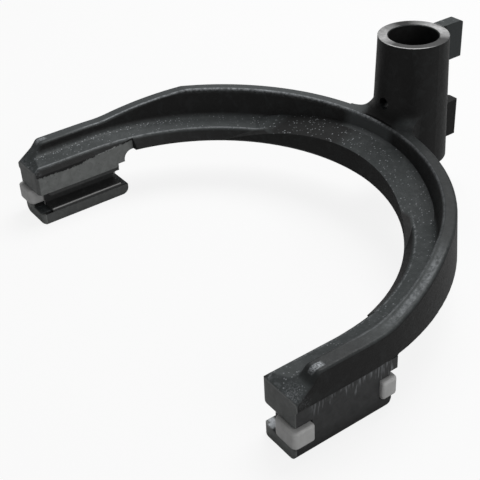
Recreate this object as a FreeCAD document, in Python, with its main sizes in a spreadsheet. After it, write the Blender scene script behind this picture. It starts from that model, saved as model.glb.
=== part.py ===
import FreeCAD, Part
import math
import os
import Sketcher
from FreeCAD import Vector

# Shift fork: a forged and machined fork for a shift rail, with a moulded wear shoe in each foot.
# The origin is on the rail bore's axis at the hub's lower end face. +Z runs up the bore,
# the arch opens towards -Y, and the fork is the same on both sides of X = 0.

# Driving dimensions in millimetres. Heights are above the hub's lower end face.
SIZES = [
    ("bore_diameter", 16.0, "bore that the shift rail passes through"),
    ("bore_chamfer", 0.3, "chamfer at the upper mouth of the bore"),
    ("hub_height", 41.7, "hub, end face to end face"),
    ("hub_top_diameter", 22.6, "hub at its upper end face"),
    ("hub_foot_diameter", 25.1, "hub at its lower end face, wider by the forging draft"),
    ("facing_diameter", 22.2, "spot face that leaves the bright ring on the hub"),
    ("facing_clearance", 6.0, "height that the spot facer clears above the ring"),
    ("pin_diameter", 4.0, "cross hole for the pin that locks the rail"),
    ("pin_height", 21.5, "axis of the cross hole"),
    ("lug_width", 4.3, "both lugs on the back of the hub"),
    ("lug_reach", 20.3, "back face of the lugs from the bore axis"),
    ("lower_lug_foot", 0.6, "underside of the lower lug"),
    ("lower_lug_height", 12.9, "lower lug, underside to slot"),
    ("slot_height", 15.9, "slot between the lugs"),
    ("facing_step", 0.2, "top of the upper lug above the spot face"),
    ("lug_top_radius", 2.0, "rounding of the upper lug's top at the back"),
    ("lug_edge_radius", 0.8, "rounding of the lugs' upright back edges"),
    ("reach", 85.5, "bore axis to the centre of the arch"),
    ("facing_allowance", 1.1, "stock that the facing takes off the inside of each foot"),
    ("flange_slant", 2.7, "run of the arch's slanted inner face up to the flange"),
    ("flange_width", 6.6, "flange, inner edge to the foot of the rim"),
    ("rim_wall_draft", 0.8, "run of the rim's inner wall"),
    ("rim_thickness", 4.0, "rim at its top"),
    ("outer_draft", 1.0, "run of the outer wall, top to underside"),
    ("arch_floor", 0.5, "underside of the arch"),
    ("arch_lip", 1.1, "height of the lower inner edge above the underside"),
    ("flange_edge_height", 4.6, "upper inner edge of the flange"),
    ("rim_root_height", 6.0, "flange at the foot of the rim's wall"),
    ("rim_height", 16.1, "top of the rim round the crown"),
    ("low_rim_height", 9.6, "top of the rim along the legs"),
    ("rim_root_fillet", 2.4, "fillet between flange and rim"),
    ("flange_edge_radius", 1.5, "rounding of the flange's inner edge"),
    ("rim_edge_radius", 0.9, "rounding of the rim's edges"),
    ("ramp_start", 37.1, "start of the ramp down, from the arch's centre towards the hub"),
    ("ramp_end", 8.5, "end of the ramp down, from the arch's centre towards the hub"),
    ("ramp_blend", 30.0, "radius that blends the ramp into the rim"),
    ("leg_length", 22.4, "arch centre to the end of the legs"),
    ("nose_length", 7.3, "end of the rim, from the top of its nose to the end of the leg"),
    ("nose_run", 2.3, "steep part of the nose"),
    ("nose_fall", 2.7, "fall of the steep part"),
    ("nose_radius", 2.0, "rounding at the top of the nose"),
    ("nose_hollow", 6.0, "hollow between the nose and the end of the flange"),
    ("leg_end_height", 3.2, "upper edge of the leg's end face"),
    ("leg_corner_radius", 3.2, "rounding of the leg's inner end edge before it is faced"),
    ("web_start", 35.0, "where the crown web leaves the flange, from the bore axis"),
    ("web_rise", 12.0, "rise of the crown web up to the bore axis line"),
    ("web_inset", 1.0, "crown web's upper inner edge outside the arch's inner edge"),
    ("neck_radius", 5.5, "upright fillets between hub and arch"),
    ("collar_radius", 4.0, "fillet between the hub and the top of the rim"),
    ("tongue_gap", 124.0, "between the machined inner faces of the feet"),
    ("foot_setback", 0.8, "milled outer face of the feet inside the arch's outer edge"),
    ("foot_depth", 33.1, "foot along the leg"),
    ("tongue_drop", 15.9, "underside of the feet below the hub's end face"),
    ("tongue_thickness", 3.6, "tongue below the notch"),
    ("notch_height", 7.8, "notch that holds the shoe"),
    ("foot_web", 6.2, "wall between the notch and the outer face"),
    ("facing_overrun", 3.9, "how far the inner facing cut runs past the foot"),
    ("relief_depth", 2.6, "recess in the far end of the foot, for the hook"),
    ("relief_top", 1.2, "recess above the ceiling of the notch"),
    ("seat_depth", 0.6, "flat seats for the hooks in the web's faces"),
    ("tongue_corner_radius", 3.0, "rounding of the tongue's far outer corner"),
    ("tongue_end_radius", 2.4, "rounding under the far end of the tongue"),
    ("foot_root_fillet", 3.2, "fillet between the foot and the underside of the arch"),
    ("shoe_clearance", 0.05, "gap between shoe and foot all round"),
    ("shoe_length", 26.6, "channel of the shoe along the notch"),
    ("shoe_depth", 6.9, "lips of the shoe from the web's inner face"),
    ("shoe_lip", 1.2, "thickness of the shoe's lips"),
    ("shoe_back", 1.2, "thickness of the shoe's back"),
    ("hook_height", 5.6, "height of the shoe's hooks"),
    ("hook_lift", 1.7, "hooks above the floor of the notch"),
    ("hook_thickness", 1.9, "wall of the hooks"),
    ("near_hook_arm", 5.3, "outer arm of the near hook past the end of the leg"),
    ("far_hook_arm", 3.3, "outer arm of the far hook past the recess"),
    ("hook_corner_radius", 1.5, "outer corners of the hooks"),
    ("hook_bend_radius", 2.0, "inner ends of the hooks, where they turn into the channel"),
    ("hook_edge_radius", 0.8, "upper and lower edges of the hooks and their ends"),
]

# Places worked out from the sizes
LUG_SIDE = "(Sizes.lug_width / 2)"
UPPER_LUG_FOOT = "(Sizes.lower_lug_foot + Sizes.lower_lug_height + Sizes.slot_height)"
UPPER_LUG_TOP = "(Sizes.hub_height + Sizes.facing_step)"
NEAR_FACE = "(Sizes.reach + Sizes.leg_length)"
FAR_FACE = "(Sizes.reach + Sizes.leg_length - Sizes.foot_depth)"
RECESS_FACE = "(Sizes.reach + Sizes.leg_length - Sizes.foot_depth + Sizes.relief_depth)"
INNER_FACE = "(Sizes.tongue_gap / 2)"
ARCH_INNER = f"({INNER_FACE} - Sizes.facing_allowance)"
FLANGE_EDGE = f"({ARCH_INNER} + Sizes.flange_slant)"
RIM_ROOT = f"({FLANGE_EDGE} + Sizes.flange_width)"
RIM_INNER = f"({RIM_ROOT} + Sizes.rim_wall_draft)"
RIM_OUTER = f"({RIM_INNER} + Sizes.rim_thickness)"
ARCH_OUTER = f"({RIM_OUTER} + Sizes.outer_draft)"
OUTER_FACE = f"({ARCH_OUTER} - Sizes.foot_setback)"
WEB_FACE = f"({OUTER_FACE} - Sizes.foot_web)"
SEAT_FACE = f"({OUTER_FACE} - Sizes.seat_depth)"
NOTCH_FLOOR = "(Sizes.tongue_thickness - Sizes.tongue_drop)"
NOTCH_CEILING = "(Sizes.tongue_thickness + Sizes.notch_height - Sizes.tongue_drop)"
HOOK_FOOT = "(Sizes.tongue_thickness + Sizes.hook_lift - Sizes.tongue_drop)"

# Middle of the right fillet between hub and arch, tangent to both
HUB_RADIUS = "((Sizes.hub_top_diameter + Sizes.hub_foot_diameter) / 4)"
NECK_Y = (f"((({RIM_OUTER} + Sizes.neck_radius) ^ 2 - ({HUB_RADIUS} + Sizes.neck_radius) ^ 2"
          " - Sizes.reach ^ 2) / (2 * Sizes.reach))")
NECK_X = f"sqrt(({HUB_RADIUS} + Sizes.neck_radius) ^ 2 - {NECK_Y} ^ 2)"

# Room that a cut takes past the material it clears
PAST = 4.0

# Thickness at which a fillet's thin edge runs out under the arch
RUN_OUT = 0.02

# Length of the construction lines that sections turn about
AXIS_LENGTH = 10.0


def fill_sheet(doc):
    """Write the driving dimensions, one row each, with the size's own name as alias."""
    sheet = doc.addObject("Spreadsheet::Sheet", "Sizes")
    for row, (alias, value, meaning) in enumerate(SIZES, start=1):
        sheet.set(f"A{row}", meaning)
        sheet.set(f"B{row}", str(value))
        sheet.setAlias(f"B{row}", alias)
    doc.recompute()
    return sheet


def place_of(sketch, text):
    """Present value of an expression, so that a sketch starts where it will be held."""
    return float(sketch.evalExpression(text))


def new_sketch(body, name, role, shift=None):
    """Sketch on one of the body's own origin planes, moved along the plane's normal by shift."""
    sketch = body.newObject("Sketcher::SketchObject", name)
    plane = next(item for item in body.Origin.OriginFeatures if item.Role == role)
    sketch.AttachmentSupport = [(plane, "")]
    sketch.MapMode = "FlatFace"
    if shift:
        sketch.setExpression("AttachmentOffset.Base.z", shift)
    return sketch


def hold(sketch, kind, geometry, text, *point):
    """Dimension one element of the sketch and bind it to an expression."""
    index = sketch.addConstraint(Sketcher.Constraint(kind, geometry, *point, place_of(sketch, text)))
    sketch.setExpression(f"Constraints[{index}]", text)


def hold_point(sketch, geometry, point, x, y):
    """Fix a point of the sketch by its two coordinates."""
    hold(sketch, "DistanceX", geometry, x, point)
    hold(sketch, "DistanceY", geometry, y, point)


def rounded_corner(sketch, before, after, corner, sides, radius):
    """Round a corner with an arc tangent to both sides, with the sharp corner kept as a point."""
    x, y, position = corner
    towards_before, towards_after = sides
    half_angle = towards_before.getAngle(towards_after) / 2
    size = place_of(sketch, radius)
    middle = (towards_before + towards_after).normalize()
    centre = position + middle * (size / math.sin(half_angle))
    entry = position + towards_before * (size / math.tan(half_angle))
    leave = position + towards_after * (size / math.tan(half_angle))
    left_turn = towards_before.cross(towards_after).z < 0
    first, last = (entry, leave) if left_turn else (leave, entry)
    first_angle = math.atan2(first.y - centre.y, first.x - centre.x)
    last_angle = math.atan2(last.y - centre.y, last.x - centre.x)
    circle = Part.Circle(centre, Vector(0, 0, 1), size)
    arc = sketch.addGeometry(Part.ArcOfCircle(circle, first_angle, last_angle), False)
    entry_end, leave_end = (1, 2) if left_turn else (2, 1)
    sketch.addConstraint(Sketcher.Constraint("Tangent", before, 2, arc, entry_end))
    sketch.addConstraint(Sketcher.Constraint("Tangent", arc, leave_end, after, 1))
    hold(sketch, "Radius", arc, radius)
    sharp = sketch.addGeometry(Part.Point(position), True)
    hold_point(sketch, sharp, 1, x, y)
    sketch.addConstraint(Sketcher.Constraint("PointOnObject", sharp, 1, before))
    sketch.addConstraint(Sketcher.Constraint("PointOnObject", sharp, 1, after))


def outline(sketch, corners):
    """Closed outline of straight sides. A corner is (x, y) or, where it is rounded, (x, y, radius)."""
    count = len(corners)
    points = [Vector(place_of(sketch, corner[0]), place_of(sketch, corner[1]), 0) for corner in corners]
    setbacks = []
    directions = []
    for index, corner in enumerate(corners):
        towards_before = (points[index - 1] - points[index]).normalize()
        towards_after = (points[(index + 1) % count] - points[index]).normalize()
        directions.append((towards_before, towards_after))
        half_angle = towards_before.getAngle(towards_after) / 2
        setbacks.append(place_of(sketch, corner[2]) / math.tan(half_angle) if len(corner) > 2 else 0)
    sides = []
    for index in range(count):
        following = (index + 1) % count
        start = points[index] + directions[index][1] * setbacks[index]
        end = points[following] + directions[following][0] * setbacks[following]
        sides.append(sketch.addGeometry(Part.LineSegment(start, end), False))
    for index, corner in enumerate(corners):
        before, after = sides[index - 1], sides[index]
        if len(corner) > 2:
            place = (corner[0], corner[1], points[index])
            rounded_corner(sketch, before, after, place, directions[index], corner[2])
        else:
            sketch.addConstraint(Sketcher.Constraint("Coincident", before, 2, after, 1))
            hold_point(sketch, after, 1, corner[0], corner[1])


def disc(sketch, radius, x="0", y="0"):
    """Full circle held by its centre and radius."""
    centre = Vector(place_of(sketch, x), place_of(sketch, y), 0)
    circle = Part.Circle(centre, Vector(0, 0, 1), place_of(sketch, radius))
    geometry = sketch.addGeometry(circle, False)
    hold(sketch, "Radius", geometry, radius)
    hold_point(sketch, geometry, 3, x, y)


def upright_axis(sketch, x):
    """Upright construction line, the axis that a section turns about."""
    foot = Vector(place_of(sketch, x), 0, 0)
    line = sketch.addGeometry(Part.LineSegment(foot, foot + Vector(0, AXIS_LENGTH, 0)), True)
    hold_point(sketch, line, 1, x, "0")
    hold_point(sketch, line, 2, x, str(AXIS_LENGTH))


def pad(body, name, sketch, length, back=False, both_ways=False):
    """Thicken a sketch into material; back turns it against the sketch's normal."""
    feature = body.newObject("PartDesign::Pad", name)
    feature.Profile = sketch
    feature.setExpression("Length", length)
    feature.Reversed = back
    feature.Midplane = both_ways
    return feature


def turn(body, name, sketch, angle):
    """Turn a section about its construction line, from the middle plane towards +X."""
    feature = body.newObject("PartDesign::Revolution", name)
    feature.Profile = sketch
    feature.ReferenceAxis = (sketch, ["Axis0"])
    feature.Angle = angle
    feature.Reversed = True
    return feature


def cut(body, name, sketch, length, forward=False, both_ways=False):
    """Remove a sketch's prism and make sure that it took material away."""
    before = body.Tip.Shape.Volume
    feature = body.newObject("PartDesign::Pocket", name)
    feature.Profile = sketch
    feature.setExpression("Length", length)
    feature.Reversed = forward
    feature.Midplane = both_ways
    body.Document.recompute()
    if feature.Shape.isNull() or feature.Shape.Volume >= before:
        raise RuntimeError(f"{name} takes nothing away")
    return feature


def edges_where(feature, test):
    """Names of the edges of a feature whose middle and box pass a test."""
    names = []
    for number, edge in enumerate(feature.Shape.Edges, start=1):
        middle = edge.valueAt((edge.FirstParameter + edge.LastParameter) / 2)
        if test(edge, middle):
            names.append(f"Edge{number}")
    return names


def round_edges(body, name, radius, test):
    """Fillet every edge of the body's present shape that passes the test."""
    body.Document.recompute()
    names = edges_where(body.Tip, test)
    if not names:
        raise RuntimeError(f"{name} finds no edge")
    feature = body.newObject("PartDesign::Fillet", name)
    feature.Base = (feature.BaseFeature, names)
    feature.setExpression("Radius", radius)
    body.Document.recompute()
    return feature


def near(value, wanted, slack=0.05):
    """Whether two lengths are the same, to within the slack."""
    return abs(value - wanted) < slack


def arch_section(sketch, shift):
    """Section of the arch: slanted inner face, flange, and rim with a drafted outer wall."""
    def at(place):
        return f"{shift} + {place}"
    outline(sketch, [
        (at(ARCH_INNER), "Sizes.arch_floor + Sizes.arch_lip"),
        (at(ARCH_INNER) + " + Sizes.arch_lip", "Sizes.arch_floor"),
        (at(ARCH_OUTER), "Sizes.arch_floor", "Sizes.rim_edge_radius"),
        (at(RIM_OUTER), "Sizes.rim_height"),
        (at(RIM_INNER), "Sizes.rim_height"),
        (at(RIM_ROOT), "Sizes.rim_root_height", "Sizes.rim_root_fillet"),
        (at(FLANGE_EDGE), "Sizes.flange_edge_height", "Sizes.flange_edge_radius"),
    ])


def crown_web(body):
    """Wedge that thickens the flange towards the hub, between the arch's inner face and the rim."""
    section = new_sketch(body, "web_section", "YZ_Plane")
    centre = "-Sizes.reach"
    upright_axis(section, centre)
    outline(section, [
        (f"{centre} + {ARCH_INNER}", "Sizes.arch_floor + Sizes.arch_lip"),
        (f"{centre} + {RIM_INNER}", "Sizes.arch_floor + Sizes.arch_lip"),
        (f"{centre} + {RIM_INNER}", "Sizes.rim_height"),
        (f"{centre} + {ARCH_INNER} + Sizes.web_inset", "Sizes.rim_height"),
    ])
    turn(body, "web_block", section, 90)
    body.Document.recompute()
    slope = new_sketch(body, "web_slope_profile", "YZ_Plane")
    rise = "(Sizes.web_rise / Sizes.web_start)"
    low = f"(Sizes.arch_floor - {PAST})"
    low_place = f"-Sizes.web_start - (Sizes.flange_edge_height - {low}) / {rise}"
    outline(slope, [
        ("0", "Sizes.flange_edge_height + Sizes.web_rise"),
        ("0", f"Sizes.rim_height + {PAST}"),
        (f"-Sizes.reach - {PAST}", f"Sizes.rim_height + {PAST}"),
        (f"-Sizes.reach - {PAST}", low),
        (low_place, low),
    ])
    cut(body, "web_slope", slope, f"4 * {ARCH_OUTER}", both_ways=True)


def arch(body):
    """Half of the arch, turned about its centre, and one straight leg of the same section."""
    section = new_sketch(body, "crown_section", "YZ_Plane")
    upright_axis(section, "-Sizes.reach")
    arch_section(section, "-Sizes.reach")
    turn(body, "crown", section, 90)
    leg_section = new_sketch(body, "leg_section", "XZ_Plane", "Sizes.reach")
    arch_section(leg_section, "0")
    pad(body, "leg", leg_section, "Sizes.leg_length")
    body.Document.recompute()


def rim_profile(body):
    """Side outline of the rim: a ramp down from the crown, a low stretch and a sloping nose."""
    profile = new_sketch(body, "rim_profile", "YZ_Plane")
    above = f"Sizes.rim_height + {PAST}"
    nose = f"-{NEAR_FACE} + Sizes.nose_length"
    hollow = f"{nose} - Sizes.nose_run"
    hollow_height = "(Sizes.low_rim_height - Sizes.nose_fall)"
    bevel = f"(({hollow_height} - Sizes.leg_end_height) / (Sizes.nose_length - Sizes.nose_run))"
    outline(profile, [
        ("Sizes.ramp_start - Sizes.reach", above),
        ("Sizes.ramp_start - Sizes.reach", "Sizes.rim_height"),
        ("Sizes.ramp_end - Sizes.reach", "Sizes.low_rim_height", "Sizes.ramp_blend"),
        (nose, "Sizes.low_rim_height", "Sizes.nose_radius"),
        (hollow, hollow_height, "Sizes.nose_hollow"),
        (f"-{NEAR_FACE} - {PAST}", f"Sizes.leg_end_height - {PAST} * {bevel}"),
        (f"-{NEAR_FACE} - {PAST}", above),
    ])
    cut(body, "rim_cut", profile, f"4 * {ARCH_OUTER}", both_ways=True)


def round_rim(body, sheet):
    """Roundings along the upper edges of the rim and down its nose."""
    ramp_fall = (sheet.rim_height - sheet.low_rim_height) / (sheet.ramp_start - sheet.ramp_end)
    wall_foot = sheet.tongue_gap / 2 + sheet.flange_slant + sheet.flange_width - sheet.facing_allowance

    def top_height(y):
        ahead = max(y + sheet.reach, sheet.ramp_end)
        return sheet.rim_height - ramp_fall * max(0, sheet.ramp_start - ahead)

    def upper_edge(edge, middle):
        along = max(0, middle.y + sheet.reach)
        from_centre = math.hypot(middle.x, along)
        outside = from_centre > wall_foot
        long_enough = edge.Length > sheet.rim_edge_radius
        across = near(edge.BoundBox.YLength, 0) or middle.x < sheet.rim_edge_radius
        level = near(middle.z, top_height(middle.y), sheet.rim_edge_radius / 2)
        return outside and long_enough and level and not across

    round_edges(body, "rim_edges", "Sizes.rim_edge_radius", upper_edge)


def neck(body):
    """Neck between hub and arch, with a fillet on each side and one round the hub on top."""
    block = new_sketch(body, "neck_outline", "XY_Plane", "Sizes.arch_floor")
    side = f"({NECK_X} * {RIM_OUTER} / ({RIM_OUTER} + Sizes.neck_radius))"
    front = f"{RIM_INNER} + Sizes.rim_edge_radius - Sizes.reach"
    back = f"{NECK_Y} * {HUB_RADIUS} / ({HUB_RADIUS} + Sizes.neck_radius)"
    outline(block, [(f"-{side}", front), (side, front), (side, back), (f"-{side}", back)])
    pad(body, "neck", block, "Sizes.rim_height + Sizes.collar_radius - Sizes.arch_floor")
    body.Document.recompute()
    rounds = new_sketch(body, "neck_rounds", "XY_Plane", "Sizes.arch_floor")
    disc(rounds, "Sizes.neck_radius", NECK_X, NECK_Y)
    disc(rounds, "Sizes.neck_radius", f"-{NECK_X}", NECK_Y)
    cut(body, "neck_fillets", rounds, "Sizes.rim_height + Sizes.collar_radius", forward=True)

    above = new_sketch(body, "collar_profile", "XZ_Plane")
    upright_axis(above, "0")
    collar_top = f"Sizes.rim_height + Sizes.collar_radius + {PAST}"
    clear = f"{HUB_RADIUS} + 3 * Sizes.collar_radius"
    outline(above, [
        (HUB_RADIUS, collar_top),
        (HUB_RADIUS, "Sizes.rim_height", "Sizes.collar_radius"),
        (clear, "Sizes.rim_height"),
        (clear, collar_top),
    ])
    collar = body.newObject("PartDesign::Groove", "collar")
    collar.Profile = above
    collar.ReferenceAxis = (above, ["Axis0"])
    collar.Angle = 360
    body.Document.recompute()


def foot_root(body):
    """Fillet between the foot's far end and the underside of the arch, trimmed to the arch."""
    profile = new_sketch(body, "root_profile", "YZ_Plane", INNER_FACE)
    inside = f"-{FAR_FACE} - Sizes.relief_depth"
    outside = f"-{FAR_FACE} + 2 * Sizes.foot_root_fillet"
    outline(profile, [
        (inside, "Sizes.arch_floor"),
        (inside, f"{NOTCH_CEILING} + Sizes.relief_top"),
        (f"-{FAR_FACE}", f"{NOTCH_CEILING} + Sizes.relief_top"),
        (f"-{FAR_FACE}", f"Sizes.arch_floor - {RUN_OUT}", "Sizes.foot_root_fillet"),
        (outside, f"Sizes.arch_floor - {RUN_OUT}"),
        (outside, "Sizes.arch_floor"),
    ])
    pad(body, "foot_root", profile, f"{ARCH_OUTER} - {INNER_FACE}")
    trim = new_sketch(body, "root_trim_outline", "XY_Plane", "Sizes.arch_floor")
    disc(trim, f"{ARCH_OUTER} - Sizes.rim_edge_radius", "0", "-Sizes.reach")
    disc(trim, f"{ARCH_OUTER} + 2 * {PAST}", "0", "-Sizes.reach")
    body.Document.recompute()
    cut(body, "root_trim", trim, "Sizes.tongue_drop")


def foot(body):
    """One foot: a block with a tongue and a notch, faced inside and cut back for the shoe's hooks."""
    block = new_sketch(body, "foot_section", "XZ_Plane", NEAR_FACE)
    outline(block, [
        (INNER_FACE, "-Sizes.tongue_drop"),
        (OUTER_FACE, "-Sizes.tongue_drop"),
        (OUTER_FACE, "Sizes.arch_floor"),
        (INNER_FACE, "Sizes.arch_floor"),
        (INNER_FACE, NOTCH_CEILING),
        (WEB_FACE, NOTCH_CEILING),
        (WEB_FACE, NOTCH_FLOOR),
        (INNER_FACE, NOTCH_FLOOR),
    ])
    pad(body, "foot_block", block, "Sizes.foot_depth", back=True)
    body.Document.recompute()

    corner = new_sketch(body, "leg_corner_outline", "XY_Plane", "-Sizes.tongue_drop")
    clear = "2 * Sizes.leg_corner_radius"
    outline(corner, [
        (f"{ARCH_INNER} - {PAST}", f"-{NEAR_FACE} - {PAST}"),
        (f"{ARCH_INNER} + {clear}", f"-{NEAR_FACE} - {PAST}"),
        (f"{ARCH_INNER} + {clear}", f"-{NEAR_FACE}"),
        (ARCH_INNER, f"-{NEAR_FACE}", "Sizes.leg_corner_radius"),
        (ARCH_INNER, f"-{NEAR_FACE} + {clear}"),
        (f"{ARCH_INNER} - {PAST}", f"-{NEAR_FACE} + {clear}"),
    ])
    cut(body, "leg_corner", corner, "Sizes.tongue_drop + Sizes.rim_height", forward=True)

    facing = new_sketch(body, "facing_section", "XZ_Plane", f"{NEAR_FACE} + {PAST}")
    outline(facing, [
        (f"{INNER_FACE} - {PAST}", f"Sizes.arch_floor - {PAST}"),
        (INNER_FACE, f"Sizes.arch_floor - {PAST}"),
        (INNER_FACE, "Sizes.flange_edge_height"),
        (f"{INNER_FACE} - {PAST}", "Sizes.flange_edge_height"),
    ])
    cut(body, "inner_facing", facing, f"Sizes.foot_depth + Sizes.facing_overrun + {PAST}")

    recess = new_sketch(body, "recess_section", "XZ_Plane", FAR_FACE)
    outline(recess, [
        (f"{INNER_FACE} - {PAST}", NOTCH_FLOOR),
        (f"{OUTER_FACE} + {PAST}", NOTCH_FLOOR),
        (f"{OUTER_FACE} + {PAST}", f"{NOTCH_CEILING} + Sizes.relief_top"),
        (f"{INNER_FACE} - {PAST}", f"{NOTCH_CEILING} + Sizes.relief_top"),
    ])
    cut(body, "hook_recess", recess, "Sizes.relief_depth", forward=True)

    near_arm_end = f"-{NEAR_FACE} + Sizes.near_hook_arm + Sizes.shoe_clearance"
    far_arm_end = f"-{RECESS_FACE} - Sizes.far_hook_arm - Sizes.shoe_clearance"
    seats = new_sketch(body, "seat_outlines", "XY_Plane", NOTCH_CEILING)
    outline(seats, [
        (f"{WEB_FACE} - {PAST}", f"-{NEAR_FACE} - {PAST}"),
        (f"{OUTER_FACE} + {PAST}", f"-{NEAR_FACE} - {PAST}"),
        (f"{OUTER_FACE} + {PAST}", near_arm_end),
        (SEAT_FACE, near_arm_end),
        (SEAT_FACE, f"-{NEAR_FACE} + Sizes.seat_depth"),
        (f"{WEB_FACE} - {PAST}", f"-{NEAR_FACE} + Sizes.seat_depth"),
    ])
    outline(seats, [
        (SEAT_FACE, far_arm_end),
        (f"{OUTER_FACE} + {PAST}", far_arm_end),
        (f"{OUTER_FACE} + {PAST}", f"-{FAR_FACE}"),
        (SEAT_FACE, f"-{FAR_FACE}"),
    ])
    depth = "Sizes.notch_height - Sizes.hook_lift + Sizes.shoe_clearance"
    cut(body, "hook_seats", seats, depth)


def round_foot(body, sheet):
    """Roundings of the tongue's far end: its outer corner and the edge underneath."""
    far_face = sheet.foot_depth - sheet.reach - sheet.leg_length
    notch_floor = sheet.tongue_thickness - sheet.tongue_drop

    def outer_corner(edge, middle):
        upright = near(edge.BoundBox.XLength, 0) and near(edge.BoundBox.YLength, 0)
        outside = middle.x > sheet.tongue_gap / 2 + sheet.tongue_corner_radius
        return upright and outside and near(middle.y, far_face) and middle.z < notch_floor

    def tongue_end(edge, middle):
        return near(middle.y, far_face) and near(middle.z, -sheet.tongue_drop)

    round_edges(body, "tongue_corner", "Sizes.tongue_corner_radius", outer_corner)
    round_edges(body, "tongue_end", "Sizes.tongue_end_radius", tongue_end)


def mirror_half(body):
    """The other half of the arch with its leg and foot."""
    mirrored = body.newObject("PartDesign::Mirrored", "other_half")
    mirrored.TransformMode = "Whole shape"
    plane = next(item for item in body.Origin.OriginFeatures if item.Role == "YZ_Plane")
    mirrored.MirrorPlane = (plane, [""])
    body.Tip = mirrored
    body.Document.recompute()


def hub(body):
    """Hub with forging draft, wider at its foot."""
    section = new_sketch(body, "hub_section", "XZ_Plane")
    upright_axis(section, "0")
    outline(section, [
        ("0", "0"),
        ("Sizes.hub_foot_diameter / 2", "0"),
        ("Sizes.hub_top_diameter / 2", "Sizes.hub_height"),
        ("0", "Sizes.hub_height"),
    ])
    turn(body, "hub", section, 360)
    body.Document.recompute()


def lug(body, name, foot, height):
    """One lug: a plate on the back of the hub with rounded upright edges."""
    plan = new_sketch(body, f"{name}_outline", "XY_Plane", foot)
    outline(plan, [
        (f"-{LUG_SIDE}", "0"),
        (LUG_SIDE, "0"),
        (LUG_SIDE, "Sizes.lug_reach", "Sizes.lug_edge_radius"),
        (f"-{LUG_SIDE}", "Sizes.lug_reach", "Sizes.lug_edge_radius"),
    ])
    pad(body, name, plan, height)
    body.Document.recompute()


def lugs(body):
    """Two lugs with a slot between them; the upper one is rounded off at the top of its back."""
    lug(body, "lower_lug", "Sizes.lower_lug_foot", "Sizes.lower_lug_height")
    lug(body, "upper_lug", UPPER_LUG_FOOT, f"{UPPER_LUG_TOP} - {UPPER_LUG_FOOT}")
    corner = new_sketch(body, "lug_top_outline", "YZ_Plane")
    clear = "2 * Sizes.lug_top_radius"
    outline(corner, [
        (f"Sizes.lug_reach - {clear}", f"{UPPER_LUG_TOP} + {PAST}"),
        (f"Sizes.lug_reach - {clear}", UPPER_LUG_TOP),
        ("Sizes.lug_reach", UPPER_LUG_TOP, "Sizes.lug_top_radius"),
        ("Sizes.lug_reach", f"{UPPER_LUG_TOP} - {clear}"),
        (f"Sizes.lug_reach + {PAST}", f"{UPPER_LUG_TOP} - {clear}"),
        (f"Sizes.lug_reach + {PAST}", f"{UPPER_LUG_TOP} + {PAST}"),
    ])
    cut(body, "lug_top", corner, "2 * Sizes.lug_width", both_ways=True)


def bores(body, sheet):
    """Machining of the hub: spot face, rail bore with its chamfers, and the pin's cross hole."""
    facing = new_sketch(body, "spot_face_outline", "XY_Plane", "Sizes.hub_height + Sizes.facing_clearance")
    disc(facing, "Sizes.facing_diameter / 2")
    cut(body, "spot_face", facing, "Sizes.facing_clearance")

    bore = new_sketch(body, "bore_outline", "XY_Plane", f"Sizes.hub_height + {PAST}")
    disc(bore, "Sizes.bore_diameter / 2")
    cut(body, "rail_bore", bore, f"Sizes.hub_height + 2 * {PAST}")

    pin = new_sketch(body, "pin_outline", "XZ_Plane")
    disc(pin, "Sizes.pin_diameter / 2", "0", "Sizes.pin_height")
    cut(body, "pin_hole", pin, "2 * Sizes.hub_foot_diameter", both_ways=True)

    def upper_mouth(edge, middle):
        return near(edge.BoundBox.XLength, sheet.bore_diameter) and near(middle.z, sheet.hub_height)
    names = edges_where(body.Tip, upper_mouth)
    mouth = body.newObject("PartDesign::Chamfer", "bore_mouth")
    mouth.Base = (mouth.BaseFeature, names)
    mouth.setExpression("Size", "Sizes.bore_chamfer")
    body.Document.recompute()


def make_fork(doc, sheet):
    """The forging, machined."""
    body = doc.addObject("PartDesign::Body", "fork_body")
    body.Label = "fork_body"
    crown_web(body)
    arch(body)
    rim_profile(body)
    round_rim(body, sheet)
    neck(body)
    foot_root(body)
    foot(body)
    round_foot(body, sheet)
    mirror_half(body)
    hub(body)
    lugs(body)
    bores(body, sheet)
    return body


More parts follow.
